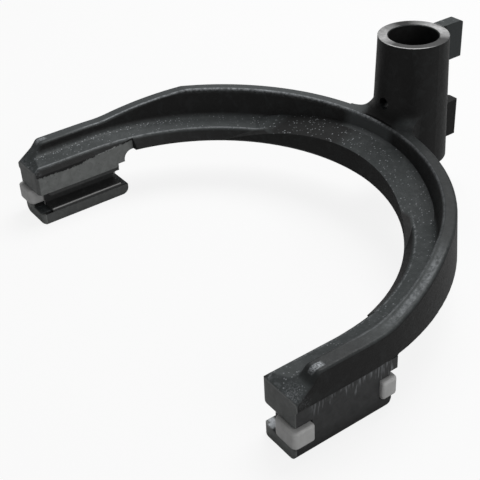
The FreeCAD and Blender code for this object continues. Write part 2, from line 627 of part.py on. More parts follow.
def make_right_shoe(doc, sheet):
    """Moulded wear shoe: a channel that lines the notch, and a hook round each end of the web."""
    body = doc.addObject("PartDesign::Body", "right_shoe")
    body.Label = "right_shoe"
    gap = "Sizes.shoe_clearance"
    back_outer = f"{WEB_FACE} - {gap}"
    back_inner = f"{WEB_FACE} - {gap} - Sizes.shoe_back"
    hook_inner = f"{SEAT_FACE} + {gap}"
    hook_outer = f"{SEAT_FACE} + {gap} + Sizes.hook_thickness"
    near_inner = f"-{NEAR_FACE} + Sizes.seat_depth - {gap}"
    near_outer = f"-{NEAR_FACE} + Sizes.seat_depth - {gap} - Sizes.hook_thickness"
    near_end = f"-{NEAR_FACE} + Sizes.near_hook_arm"
    far_inner = f"-{RECESS_FACE} + {gap}"
    far_outer = f"-{RECESS_FACE} + {gap} + Sizes.hook_thickness"
    far_end = f"-{RECESS_FACE} - Sizes.far_hook_arm"
    corner = "Sizes.hook_corner_radius"
    end = "Sizes.hook_edge_radius"
    bend = "Sizes.hook_bend_radius"

    band = new_sketch(body, "hook_band", "XY_Plane", HOOK_FOOT)
    outline(band, [
        (back_inner, near_outer, bend),
        (hook_outer, near_outer, corner),
        (hook_outer, near_end, end),
        (hook_inner, near_end),
        (hook_inner, near_inner),
        (back_outer, near_inner),
        (back_outer, far_inner),
        (hook_inner, far_inner),
        (hook_inner, far_end),
        (hook_outer, far_end, end),
        (hook_outer, far_outer, corner),
        (back_inner, far_outer, bend),
    ])
    pad(body, "hooks", band, "Sizes.hook_height")

    outer_face = sheet.tongue_gap / 2 - sheet.facing_allowance + sheet.flange_slant + sheet.flange_width
    outer_face += sheet.rim_wall_draft + sheet.rim_thickness + sheet.outer_draft - sheet.foot_setback
    seat_face = outer_face - sheet.seat_depth
    near_face = sheet.reach + sheet.leg_length
    recess_face = near_face - sheet.foot_depth + sheet.relief_depth

    def outer_edge(edge, middle):
        level = near(edge.BoundBox.ZLength, 0)
        outside = middle.x > seat_face + sheet.shoe_clearance + sheet.hook_thickness / 2
        before_end = middle.y < sheet.seat_depth - near_face - sheet.hook_thickness / 2
        past_recess = middle.y > sheet.hook_thickness / 2 - recess_face
        return level and (outside or before_end or past_recess)
    round_edges(body, "hook_edges", "Sizes.hook_edge_radius", outer_edge)

    lip_edge = f"{WEB_FACE} - Sizes.shoe_depth"
    floor = f"{NOTCH_FLOOR} + {gap}"
    ceiling = f"{NOTCH_CEILING} - {gap}"
    liner = new_sketch(body, "liner_section", "XZ_Plane", f"{RECESS_FACE} + {gap}")
    outline(liner, [
        (back_outer, floor),
        (back_outer, ceiling),
        (lip_edge, ceiling),
        (lip_edge, f"{ceiling} - Sizes.shoe_lip"),
        (back_inner, f"{ceiling} - Sizes.shoe_lip"),
        (back_inner, f"{floor} + Sizes.shoe_lip"),
        (lip_edge, f"{floor} + Sizes.shoe_lip"),
        (lip_edge, floor),
    ])
    pad(body, "liner", liner, "Sizes.shoe_length")
    return body


def make_left_shoe(doc, right_shoe):
    """The same shoe on the other foot, mirrored."""
    shoe = doc.addObject("Part::Mirroring", "left_shoe")
    shoe.Label = "left_shoe"
    shoe.Source = right_shoe
    shoe.Normal = Vector(1, 0, 0)
    return shoe


def check_objects(doc):
    """Stop if any feature failed."""
    for item in doc.Objects:
        if "Invalid" in item.State or "Error" in item.State:
            raise RuntimeError(f"{item.Label} failed: {item.State}")


def export(parts):
    """Write each piece to a file of its own, once all of them are sound."""
    for part in parts:
        shape = part.Shape
        if shape.isNull() or not shape.isValid() or len(shape.Solids) != 1:
            raise RuntimeError(f"{part.Label} isn't one sound solid")
    os.makedirs("parts", exist_ok=True)
    for part in parts:
        part.Shape.exportStep(f"parts/{part.Label}.step")
        print(part.Label, round(part.Shape.Volume / 1000, 2), "cm3")


def main():
    doc = FreeCAD.newDocument("shift_fork")
    sheet = fill_sheet(doc)
    fork = make_fork(doc, sheet)
    right_shoe = make_right_shoe(doc, sheet)
    left_shoe = make_left_shoe(doc, right_shoe)
    doc.recompute()
    check_objects(doc)
    export([fork, right_shoe, left_shoe])


main()
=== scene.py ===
import math

import bpy
from bpy.props import FloatProperty, FloatVectorProperty, PointerProperty
from mathutils import Matrix, Vector


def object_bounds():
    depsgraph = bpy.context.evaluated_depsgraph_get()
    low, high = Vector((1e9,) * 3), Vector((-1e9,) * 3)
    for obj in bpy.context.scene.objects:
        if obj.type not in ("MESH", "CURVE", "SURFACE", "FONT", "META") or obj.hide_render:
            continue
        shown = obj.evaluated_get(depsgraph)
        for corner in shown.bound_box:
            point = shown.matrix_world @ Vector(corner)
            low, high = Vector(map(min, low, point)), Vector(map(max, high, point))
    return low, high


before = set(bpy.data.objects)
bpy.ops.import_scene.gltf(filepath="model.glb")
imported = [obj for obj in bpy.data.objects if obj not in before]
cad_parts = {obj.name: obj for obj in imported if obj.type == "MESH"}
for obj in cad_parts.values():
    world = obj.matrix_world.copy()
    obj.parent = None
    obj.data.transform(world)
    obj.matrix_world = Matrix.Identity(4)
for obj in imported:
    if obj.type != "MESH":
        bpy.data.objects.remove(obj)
CAD_LOW, CAD_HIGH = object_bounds()

bl_info = {
    "name": "Shift fork looks",
    "version": (1, 0, 0),
    "blender": (4, 5, 0),
    "location": "3D View > Sidebar > Shift fork",
    "description": "Finishes, light and camera for a forged shift fork with moulded wear shoes",
    "category": "Object",
}

MM = 0.001
FORK = "fork_body"
SHOES = ("left_shoe", "right_shoe")
IMAGE_SIZE = 480
SENSOR = 36.0
WHITE = (1.0, 1.0, 1.0, 1.0)

# Stage, in metres; the lamps stand off the middle of the fork.
FLOOR_SIZE = 6.0
KEY_PLACE = (-0.10, 0.25, 0.55)
KEY_SIZE = 0.45
SIDE_PLACE = (0.60, 0.05, 0.30)
SIDE_SIZE = 0.40
NEAR_CLIP = 0.01
FAR_CLIP = 20.0

# Floor: its tone for bounced light and for the camera, and how much of it shows plain white.
FLOOR_BOUNCE = 0.45
FLOOR_TONE = 0.80
FLOOR_GLOW = 0.86

# Patches of the finish, of painted light and shade and of painted highlights: low end, high end and softness
# of each, in millimetres.
# These lie along X, from the middle plane to the right.
LEFT_ARC_X = (-66.0, -32.0, 8.0)
# SHADED_WEB_X spans a painted shadow of the hub on the web.
SHADED_WEB_X = (-32.0, -10.0, 6.0)
SPECKLED_WEB_X = (-45.0, 16.0, 12.0)
# HUB_FRONT_WALL_X and HUB_FRONT_TOP_X span painted light on the rim's wall and painted shade on its top in
# front of the hub.
HUB_FRONT_WALL_X = (-11.0, 5.0, 3.5)
HUB_FRONT_TOP_X = (-6.0, 5.0, 3.0)
# Painted highlight on the tongue tops by the leg ends, across X.
TONGUE_HIGHLIGHT_X = (61.0, 65.2, 0.5)
# These lie along Y, from the bore axis.
RIGHT_BEND_Y = (-78.0, -54.0, 10.0)
# Painted highlight along the right arm's rim.
RIGHT_RIM_HIGHLIGHT_Y = (-72.0, -54.0, 7.0)
CHATTER_Y = (-101.0, -76.0, 3.0)
CHANNEL_Y = (-104.2, -77.2, 0.6)
# Painted highlight on the tongue tops by the leg ends, up Z.
TONGUE_HIGHLIGHT_Z = (-12.8, -12.0, 0.3)
GRAINY_CORNER = (72.5, -105.3, 2.6)

# Directions of the ring's painted gleams round the hub, in degrees from +X.
FAR_GLEAM = 88.0
NEAR_GLEAM = -138.0
FRONT_GLEAM = -75.0


class ForkFinishes(bpy.types.PropertyGroup):
    # Painted shade: upright faces take this darker skin, and faces that look up take the lighter skin below.
    shaded_skin: FloatVectorProperty(
        name="Skin, walls", description="Oily forging skin on upright faces", subtype="COLOR",
        size=3, min=0, max=1, default=(0.013, 0.013, 0.013))
    skin_top: FloatVectorProperty(
        name="Skin, tops", description="Forging skin on the faces that look up", subtype="COLOR",
        size=3, min=0, max=1, default=(0.043, 0.049, 0.050))
    skin_pale: FloatVectorProperty(
        name="Skin, pale patches", description="Dry pale patches of the forging skin", subtype="COLOR",
        size=3, min=0, max=1, default=(0.085, 0.092, 0.094))
    # Also the colour of the painted highlights on the rim, its noses and the tongues.
    speck_and_highlight: FloatVectorProperty(
        name="Specks", description="Bright grains where the skin is blasted bare", subtype="COLOR",
        size=3, min=0, max=1, default=(0.42, 0.44, 0.46))
    milled: FloatVectorProperty(
        name="Milled steel", description="Stained milled faces of the feet", subtype="COLOR",
        size=3, min=0, max=1, default=(0.060, 0.061, 0.062))
    faced: FloatVectorProperty(
        name="Faced steel", description="Inner faces of the feet", subtype="COLOR",
        size=3, min=0, max=1, default=(0.240, 0.250, 0.245))
    # The ring's painted gleams take this colour; the next colour is the ring away from them.
    ring: FloatVectorProperty(
        name="Ring", description="Freshly turned ring on the hub", subtype="COLOR",
        size=3, min=0, max=1, default=(0.80, 0.80, 0.80))
    ring_dull: FloatVectorProperty(
        name="Ring, dull side", description="Turned ring where its marks turn the light away",
        subtype="COLOR", size=3, min=0, max=1, default=(0.08, 0.08, 0.08))
    shoe: FloatVectorProperty(
        name="Shoes", description="Moulded grey of the wear shoes", subtype="COLOR",
        size=3, min=0, max=1, default=(0.56, 0.56, 0.555))
    # Painted shade: the colour the shoes' channels are darkened to.
    shoe_channel_shade: FloatVectorProperty(
        name="Shoe grime", description="Oily dirt in the shoes' channels", subtype="COLOR",
        size=3, min=0, max=1, default=(0.026, 0.027, 0.027))


class ForkPlaces(bpy.types.PropertyGroup):
    reach: FloatProperty(
        name="Reach", description="Bore axis to the centre of the arch", unit="LENGTH",
        default=85.5 * MM)
    flange_edge: FloatProperty(
        name="Flange, inner edge", description="Radius of the flange's upper inner edge", unit="LENGTH",
        default=63.6 * MM)
    rim_inner: FloatProperty(
        name="Rim, inner edge", description="Radius of the rim's upper inner edge", unit="LENGTH",
        default=71.0 * MM)
    rim_top: FloatProperty(
        name="Rim, top", description="Top of the rim at its full height", unit="LENGTH",
        default=16.1 * MM)
    flange_level: FloatProperty(
        name="Flange level", description="Height of the flange's upper inner edge", unit="LENGTH",
        default=4.6 * MM)
    foot_inner: FloatProperty(
        name="Foot, inner face", description="Machined inner face of each foot from the middle plane",
        unit="LENGTH", default=62.0 * MM)
    foot_outer: FloatProperty(
        name="Foot, outer face", description="Milled outer face of each foot from the middle plane",
        unit="LENGTH", default=75.2 * MM)
    foot_root: FloatProperty(
        name="Foot, far end", description="Far end of the feet from the bore axis", unit="LENGTH",
        default=74.8 * MM)
    leg_end: FloatProperty(
        name="Leg end", description="End face of the legs from the bore axis", unit="LENGTH",
        default=107.9 * MM)
    nose: FloatProperty(
        name="Rim's nose", description="Top of the rim's nose from the bore axis", unit="LENGTH",
        default=100.6 * MM)
    notch_floor: FloatProperty(
        name="Notch floor", description="Floor of the shoe's notch below the hub", unit="LENGTH",
        default=-12.3 * MM)
    faced_top: FloatProperty(
        name="Faced steel, top", description="Where the cutter left the inner faces near the leg ends",
        unit="LENGTH", default=1.8 * MM)
    hub_height: FloatProperty(
        name="Hub height", description="Bright end face of the hub", unit="LENGTH",
        default=41.7 * MM)
    ring_radius: FloatProperty(
        name="Ring radius", description="Outer radius of the bright ring on the hub", unit="LENGTH",
        default=11.1 * MM)
    lip_edge: FloatProperty(
        name="Lip edge", description="Edge of the shoes' lips from the middle plane", unit="LENGTH",
        default=62.1 * MM)
    channel_back: FloatProperty(
        name="Channel back", description="Back of the shoes' channel from the middle plane",
        unit="LENGTH", default=67.75 * MM)


class ForkView(bpy.types.PropertyGroup):
    place: FloatVectorProperty(
        name="Camera place", description="Where the camera stands", subtype="TRANSLATION",
        size=3, default=(211.57 * MM, -211.80 * MM, 168.40 * MM))
    azimuth: FloatProperty(
        name="Azimuth", description="Turn of the view round the fork", subtype="ANGLE",
        default=math.radians(56.204))
    pitch: FloatProperty(
        name="Pitch", description="How far the view looks down", subtype="ANGLE",
        default=math.radians(34.388))
    roll: FloatProperty(
        name="Roll", description="Tilt of the camera about its own line of sight", subtype="ANGLE",
        default=math.radians(-3.398))
    focal_pixels: FloatProperty(
        name="Focal length", description="Focal length in pixels of the square image",
        default=997.96)
    fill: FloatProperty(
        name="Room light", description="Strength of the even light from all round", default=0.22)
    key_power: FloatProperty(
        name="Key light", description="Power of the large lamp overhead", unit="POWER", default=3.2)
    side_power: FloatProperty(
        name="Side light", description="Power of the lamp to the right", unit="POWER", default=0.9)


class NodeSheet:
    """Short hand for building the nodes of one material or of the world."""

    def __init__(self, owner):
        owner.use_nodes = True
        self.tree = owner.node_tree
        self.tree.nodes.clear()

    def add(self, kind, values=(), **settings):
        node = self.tree.nodes.new(kind)
        for name, value in settings.items():
            setattr(node, name, value)
        for socket, value in dict(values).items():
            self.set(node.inputs[socket], value)
        return node

    def set(self, socket, value):
        if isinstance(value, bpy.types.NodeSocket):
            self.tree.links.new(value, socket)
        else:
            socket.default_value = value

    def surface(self, output_kind, shader):
        output = self.add(output_kind)
        self.set(output.inputs["Surface"], shader)

    def math(self, operation, first, second=0.0):
        return self.add("ShaderNodeMath", {0: first, 1: second}, operation=operation).outputs[0]

    def product(self, *values):
        result = values[0]
        for value in values[1:]:
            result = self.math("MULTIPLY", result, value)
        return result

    def most(self, *values):
        result = values[0]
        for value in values[1:]:
            result = self.math("MAXIMUM", result, value)
        return result

    def other(self, value):
        """1 less the value."""
        return self.math("SUBTRACT", 1.0, value)

    def band(self, value, low, high, soft):
        """1 where value is between low and high, falling to 0 over soft on each side."""
        rise = self.ramp(value, low - soft, low)
        fall = self.ramp(value, high + soft, high)
        return self.product(rise, fall)

    def ramp(self, value, start, end, result_start=0.0, result_end=1.0):
        values = {"Value": value, "From Min": start, "From Max": end,
                  "To Min": result_start, "To Max": result_end}
        node = self.add("ShaderNodeMapRange", values, clamp=True)
        return node.outputs[0]

    def noise(self, place, scale, detail=3.0, rough=0.5, distortion=0.0):
        values = {"Vector": place, "Scale": scale, "Detail": detail, "Roughness": rough,
                  "Distortion": distortion}
        return self.add("ShaderNodeTexNoise", values).outputs["Fac"]

    def mix(self, factor, first, second, data_type="RGBA"):
        node = self.add("ShaderNodeMix", data_type=data_type)
        self.set(node.inputs["Factor"], factor)
        self.set(node.inputs["A"], first)
        self.set(node.inputs["B"], second)
        return node.outputs["Result"]

    def blend(self, factor, first, second):
        return self.mix(factor, first, second, "FLOAT")

    def place_in_mm(self):
        """Object coordinates in millimetres, as a vector and as three numbers."""
        coordinates = self.add("ShaderNodeTexCoord").outputs["Object"]
        scaled = self.add("ShaderNodeVectorMath", {0: coordinates, "Scale": 1 / MM}, operation="SCALE")
        vector = scaled.outputs[0]
        parts = self.add("ShaderNodeSeparateXYZ", {0: vector})
        return vector, parts.outputs[0], parts.outputs[1], parts.outputs[2]


def opaque(colour, share=1.0):
    """The colour as four numbers, darkened or lightened to a share of itself."""
    return (*(share * part for part in colour), 1.0)


def grey(level):
    return (level, level, level, 1.0)


def radius_of(sheet, first, second):
    squares = sheet.math("ADD", sheet.product(first, first), sheet.product(second, second))
    return sheet.math("SQRT", squares)


class ForgingPlace:
    """Where a point of the forging lies in millimetres, with the masks and noises that all finishes read."""

    def __init__(self, sheet, places):
        self.vector, self.x, self.y, self.z = sheet.place_in_mm()
        self.side = sheet.math("ABSOLUTE", self.x)
        along = sheet.most(sheet.math("ADD", self.y, places.reach / MM), 0.0)
        self.arch = radius_of(sheet, self.side, along)
        self.hub = radius_of(sheet, self.x, self.y)
        normal = sheet.add("ShaderNodeNewGeometry").outputs["Normal"]
        parts = sheet.add("ShaderNodeSeparateXYZ", {0: normal})
        edge = places.flange_edge / MM
        level = places.flange_level / MM
        past_edge = sheet.most(sheet.ramp(self.arch, edge - 0.7, edge),
                               sheet.ramp(self.z, level + 0.4, level + 0.8))
        self.up = sheet.product(sheet.ramp(parts.outputs[2], 0.30, 0.85), past_edge)
        self.wall = sheet.other(self.up)
        self.right = sheet.ramp(self.x, -2.0, 6.0)
        self.left = sheet.other(self.right)
        inner = places.rim_inner / MM
        top = places.rim_top / MM
        self.rim = sheet.product(sheet.ramp(self.arch, inner - 0.4, inner + 0.1),
                                 sheet.ramp(self.z, 6.4, 7.2), sheet.ramp(self.z, top + 1.0, top + 0.4))
        self.clouds = sheet.noise(self.vector, 0.10, 4.0, 0.6)
        self.mottle = sheet.noise(self.vector, 0.5, 5.0, 0.65)
        self.grain = sheet.noise(self.vector, 2.4, 3.0, 0.6)
        self.ragged = sheet.noise(self.vector, 0.9, 4.0, 0.7)
        cells = sheet.add("ShaderNodeTexVoronoi", {"Vector": self.vector, "Scale": 1.25})
        draws = sheet.add("ShaderNodeSeparateColor", {0: cells.outputs["Color"]})
        self.dot = sheet.ramp(cells.outputs["Distance"], 0.32, 0.16)
        self.chance = draws.outputs[0]


def tone_masks(sheet, at):
    """Broad patches of the upper faces: how far each place is paler and how far it is darker, the darker
    including a painted shadow of the hub on the web.
    """
    left_rim = sheet.product(at.rim, at.left, 0.50)
    left_flange = sheet.product(sheet.other(at.rim), sheet.band(at.x, *LEFT_ARC_X),
                                sheet.ramp(at.y, -84.0, -76.0), 0.30)
    right_end = sheet.product(at.right, sheet.ramp(at.y, -95.0, -99.0), sheet.other(at.rim), 0.40)
    paler = sheet.product(sheet.most(left_rim, left_flange, right_end), at.up)
    bend = sheet.band(at.y, *RIGHT_BEND_Y)
    right_rim = sheet.product(at.rim, at.right, sheet.other(bend), 0.55)
    # Painted shadow of the hub on the web.
    shaded_web = sheet.product(sheet.other(at.rim), sheet.band(at.x, *SHADED_WEB_X), 0.95,
                               sheet.ramp(at.y, -40.0, -32.0))
    darker = sheet.product(sheet.most(right_rim, shaded_web), at.up)
    return paler, darker


def bridge_masks(sheet, at, places):
    """In front of the hub, painted light on the rim's wall and painted shade on its top stand in for the
    higher web.
    """
    inner = places.rim_inner / MM
    top = places.rim_top / MM
    crown = sheet.ramp(at.y, -26.0, -22.0)
    painted_light_wall = sheet.product(sheet.band(at.x, *HUB_FRONT_WALL_X), crown, sheet.ramp(at.z, 6.5, 7.5),
                              sheet.band(at.arch, inner - 1.9, inner - 0.1, 0.5))
    painted_shade_top = sheet.product(sheet.band(at.x, *HUB_FRONT_TOP_X), crown,
                             sheet.ramp(at.z, top + 6.0, top + 2.0),
                             sheet.ramp(at.arch, inner - 0.2, inner + 0.3))
    return painted_light_wall, painted_shade_top


def speck_masks(sheet, at, places):
    """White grains of bare steel, thickest along the flange's two edges and at the near leg's corner; along
    the flange's inner edge they are also a painted highlight.
    """
    inner = places.rim_inner / MM
    edge = places.flange_edge / MM
    fine = sheet.product(at.dot, sheet.ramp(at.chance, 0.55, 0.95))
    zone = sheet.product(sheet.ramp(at.clouds, 0.42, 0.62, 0.15, 1.0), sheet.other(at.rim))
    near_hub = sheet.product(sheet.band(at.x, *SPECKLED_WEB_X), sheet.ramp(at.y, -55.0, -35.0),
                             sheet.ramp(at.arch, inner + 0.2, inner - 0.4))
    zone = sheet.product(sheet.most(zone, near_hub), at.up)
    seam = sheet.product(sheet.band(at.arch, inner - 2.6, inner - 1.7, 0.7), sheet.other(near_hub))
    seam_grains = sheet.product(at.dot, sheet.ramp(at.chance, 0.30, 0.36))
    level = places.flange_level / MM
    # Grains and a painted highlight along the flange's rounded inner edge.
    lip = sheet.product(sheet.band(at.arch, edge + 0.3, edge + 0.55, 0.25),
                        sheet.ramp(at.z, level + 1.0, level + 0.5))
    lip_grains_and_glints = sheet.ramp(sheet.math("ADD", at.ragged, sheet.product(at.left, 0.10)), 0.46, 0.60)
    away = sheet.add("ShaderNodeVectorMath", {0: at.vector, 1: GRAINY_CORNER}, operation="DISTANCE")
    corner = sheet.ramp(away.outputs["Value"], 4.2, 1.2)
    corner_grains = sheet.product(corner, sheet.ramp(at.grain, 0.48, 0.60))
    lines = sheet.most(sheet.product(seam, seam_grains), sheet.product(lip, lip_grains_and_glints, 0.5))
    lines = sheet.product(lines, at.up)
    return sheet.most(sheet.product(fine, zone, 0.80), sheet.product(lines, 0.65),
                      sheet.product(corner_grains, 0.45))


def skin_colour(sheet, at, finishes, places):
    """Forging skin: painted shade darkens the walls, and the faces that look up are lighter and speckled."""
    dark = opaque(finishes.shaded_skin)
    plain = opaque(finishes.skin_top)
    pale = opaque(finishes.skin_pale)
    # Painted shade: walls take the shaded skin and faces that look up take the lighter skin, varied by
    # clouds.
    lit_tops = sheet.product(at.up, sheet.ramp(at.clouds, 0.25, 0.6, 0.75, 1.0))
    colour = sheet.mix(lit_tops, dark, plain)
    colour = sheet.mix(sheet.product(sheet.ramp(at.mottle, 0.46, 0.72, 0.0, 0.55), at.up), colour, pale)
    streaks = sheet.ramp(sheet.noise(at.vector, 0.22, 3.0, 0.6, 1.0), 0.5, 0.8, 0.0, 0.35)
    colour = sheet.mix(sheet.product(streaks, at.wall), colour, plain)
    lugs = sheet.product(at.wall, sheet.ramp(at.hub, 12.2, 13.0), sheet.ramp(at.y, 2.0, 4.0))
    colour = sheet.mix(sheet.product(lugs, 0.95), colour, plain)
    paler, darker = tone_masks(sheet, at)
    colour = sheet.mix(paler, colour, pale)
    colour = sheet.mix(darker, colour, dark)
    # Painted light on the rim's wall and painted shade on its top, in front of the hub.
    painted_light_wall, painted_shade_top = bridge_masks(sheet, at, places)
    colour = sheet.mix(sheet.product(painted_light_wall, 0.75), colour, pale)
    colour = sheet.mix(painted_shade_top, colour, opaque(finishes.shaded_skin, 0.4))
    specks = sheet.product(speck_masks(sheet, at, places), sheet.other(painted_shade_top))
    return sheet.mix(specks, colour, opaque(finishes.speck_and_highlight))


def wear_and_highlight_mask(sheet, at, places):
    """Bright marks: wear with a painted highlight on the rim's inner edge, painted highlights along the
    right arm's rim, on its noses and on the tongues, and rubbed edges at the ends of the legs.
    """
    inner = places.rim_inner / MM
    nose_y = -places.nose / MM
    end_y = -places.leg_end / MM
    # Wear and a painted highlight along the rim's inner edge.
    edge = sheet.product(sheet.band(at.arch, inner + 0.1, inner + 0.5, 0.25), at.rim,
                         sheet.ramp(at.y, -92.0, -80.0), sheet.ramp(at.ragged, 0.40, 0.58, 0.15, 0.6),
                         sheet.blend(at.left, 0.35, 1.0))
    # Painted highlight along the right arm's rim.
    right_rim_highlight = sheet.product(sheet.band(at.arch, inner + 1.6, inner + 3.0, 0.5), at.rim, at.right,
                           sheet.band(at.y, *RIGHT_RIM_HIGHLIGHT_Y), sheet.ramp(at.ragged, 0.36, 0.62, 0.02, 0.32))
    # Painted highlight on the rim's noses.
    nose = sheet.product(sheet.band(at.y, nose_y - 0.4, nose_y + 2.4, 0.8),
                         sheet.band(at.arch, inner + 1.5, inner + 2.9, 0.4),
                         sheet.ramp(at.z, 7.2, 8.0), sheet.ramp(at.grain, 0.42, 0.56, 0.15, 0.7))
    end = sheet.product(sheet.ramp(at.y, end_y + 2.6, end_y), sheet.ramp(at.z, 1.8, 3.4),
                        sheet.ramp(at.ragged, 0.45, 0.62), 0.25)
    # Painted highlight on the tongue tops by the leg ends.
    tongue_highlight = sheet.product(sheet.ramp(at.y, end_y + 3.4, end_y + 2.8), sheet.band(at.x, *TONGUE_HIGHLIGHT_X),
                          sheet.band(at.z, *TONGUE_HIGHLIGHT_Z), 0.8)
    return sheet.most(edge, right_rim_highlight, nose, end, tongue_highlight)


def foot_masks(sheet, at, places):
    """Machined faces of the feet: the faced inner side, and the milled outer side, ends and tongues, with a
    painted highlight on the inner face at each leg end's corner.
    """
    inner_x = places.foot_inner / MM
    outer_x = places.foot_outer / MM
    root_y = -places.foot_root / MM
    end_y = -places.leg_end / MM
    floor_z = places.notch_floor / MM
    faced_z = places.faced_top / MM
    wander = sheet.ramp(at.ragged, 0.3, 0.7, 0.0, 0.3)
    inner = sheet.math("LESS_THAN", at.side, sheet.math("ADD", wander, inner_x + 0.03))
    inner = sheet.product(inner, sheet.ramp(at.y, root_y + 3.9, root_y + 3.5))
    run_out = sheet.math("ADD", sheet.ramp(at.y, -92.0, -79.0, 0.0, 1.7),
                         sheet.ramp(at.clouds, 0.3, 0.7, -0.5, 0.5))
    limit = sheet.math("ADD", run_out, sheet.ramp(at.ragged, 0.3, 0.7, -0.4, 0.4))
    below_run_out = sheet.ramp(sheet.math("SUBTRACT", at.z, limit), faced_z + 0.35, faced_z)
    tongue = sheet.ramp(at.z, floor_z + 0.1, floor_z - 0.1)
    faced = sheet.product(inner, sheet.other(tongue), below_run_out)

    below = sheet.math("LESS_THAN", sheet.math("SUBTRACT", at.z, wander), 0.4)
    outer = sheet.product(below, sheet.math("GREATER_THAN", at.side, outer_x - 0.1))
    # Painted highlight: the inner face next to the leg end takes the end's paler steel, standing in for the
    # rounded edge the model lacks.
    corner = sheet.product(sheet.ramp(at.side, inner_x + 1.4, inner_x + 1.1),
                           sheet.ramp(at.y, end_y + 1.4, end_y + 1.1), sheet.ramp(at.z, 2.2, 1.8))
    end = sheet.most(sheet.ramp(at.y, end_y + 0.5, end_y + 0.15), corner)
    milled = sheet.most(outer, end, sheet.product(inner, tongue))
    bright = sheet.most(sheet.product(end, 0.55), sheet.product(inner, tongue, 0.42),
                        sheet.product(end, tongue))
    return faced, milled, bright


def chatter(sheet, at, places):
    """Pale tool marks where the cutter ran out at the top of the milled outer faces."""
    stretched = sheet.add("ShaderNodeVectorMath", {0: at.vector, 1: (1.0, 1.0, 0.14)}, operation="MULTIPLY")
    strokes = sheet.noise(stretched.outputs[0], 1.5, 2.0, 0.6)
    marks = sheet.ramp(strokes, 0.46, 0.68)
    reach = sheet.ramp(sheet.noise(stretched.outputs[0], 0.5, 2.0, 0.5), 0.35, 0.65, 1.0, -4.4)
    outer_x = places.foot_outer / MM
    zone = sheet.product(sheet.ramp(sheet.math("SUBTRACT", at.z, reach), -0.6, 0.9),
                         sheet.ramp(at.z, 1.4, 0.4), sheet.ramp(at.side, outer_x - 0.3, outer_x - 0.1))
    return sheet.product(marks, zone, sheet.band(at.y, *CHATTER_Y))


def towards(sheet, at, degrees):
    """Cosine of the angle on the hub between a point and a direction."""
    turn = math.radians(degrees)
    share = sheet.math("ADD", sheet.product(at.x, math.cos(turn)), sheet.product(at.y, math.sin(turn)))
    return sheet.math("DIVIDE", share, sheet.most(at.hub, 0.1))


def foot_steel(sheet, at, finishes, places, bright):
    """Stained milled steel with painted shade darkening it towards the floor, and the paler faced steel with
    pits.
    """
    dark = opaque(finishes.shaded_skin)
    cloudy = sheet.ramp(sheet.noise(at.vector, 0.35, 4.0, 0.65, 0.6), 0.3, 0.7)
    milled_steel = sheet.mix(cloudy, opaque(finishes.milled, 0.62), opaque(finishes.milled))
    # Painted shade towards the floor.
    milled_steel = sheet.mix(sheet.ramp(at.z, -9.0, -15.5, 0.0, 0.65), milled_steel, dark)
    bare_steel = sheet.mix(cloudy, opaque(finishes.faced, 0.66), opaque(finishes.faced))
    milled_steel = sheet.mix(bright, milled_steel, bare_steel)
    marks = sheet.product(chatter(sheet, at, places), 0.45)
    milled_steel = sheet.mix(marks, milled_steel, opaque(finishes.speck_and_highlight))
    pits = sheet.ramp(sheet.noise(at.vector, 0.8, 4.0, 0.75), 0.30, 0.36, 0.75, 0.0)
    return milled_steel, sheet.mix(pits, bare_steel, dark)


def ring_mask(sheet, at, places):
    """The hub's bright end face, inside the ring's outer edge."""
    height = places.hub_height / MM
    radius = places.ring_radius / MM
    on_top = sheet.ramp(at.z, height - 0.12, height - 0.04)
    return sheet.product(on_top, sheet.ramp(at.hub, radius + 0.15, radius))


def ring_shader(sheet, at, finishes, places):
    """Turned steel with painted gleams at the back, at the near left and along its front edge."""
    radius = places.ring_radius / MM
    turned = sheet.noise(sheet.add("ShaderNodeCombineXYZ", {0: at.hub}).outputs[0], 7.0, 3.0, 0.7)
    blotch = sheet.ramp(at.mottle, 0.35, 0.65, 0.6, 1.0)
    # Painted highlights: gleams painted by angle round the hub and along the ring's front edge.
    far_gleam = sheet.ramp(towards(sheet, at, FAR_GLEAM), 0.50, 0.98)
    near_gleam = sheet.ramp(towards(sheet, at, NEAR_GLEAM), 0.55, 0.95)
    front_edge = sheet.product(sheet.ramp(at.hub, radius - 0.55, radius - 0.3),
                               sheet.ramp(towards(sheet, at, FRONT_GLEAM), 0.3, 0.7), 0.8)
    gleam = sheet.most(far_gleam, near_gleam, front_edge)
    shine = sheet.product(gleam, sheet.ramp(turned, 0.3, 0.7, 0.7, 1.0), blotch)
    steel = sheet.mix(shine, opaque(finishes.ring_dull), opaque(finishes.ring))
    radial = sheet.add("ShaderNodeTangent", direction_type="RADIAL", axis="Z")
    ring = sheet.add("ShaderNodeBsdfPrincipled", {
        "Base Color": steel, "Metallic": 1.0, "Roughness": 0.36, "Anisotropic": 0.7,
        "Tangent": radial.outputs[0]})
    return ring.outputs[0]


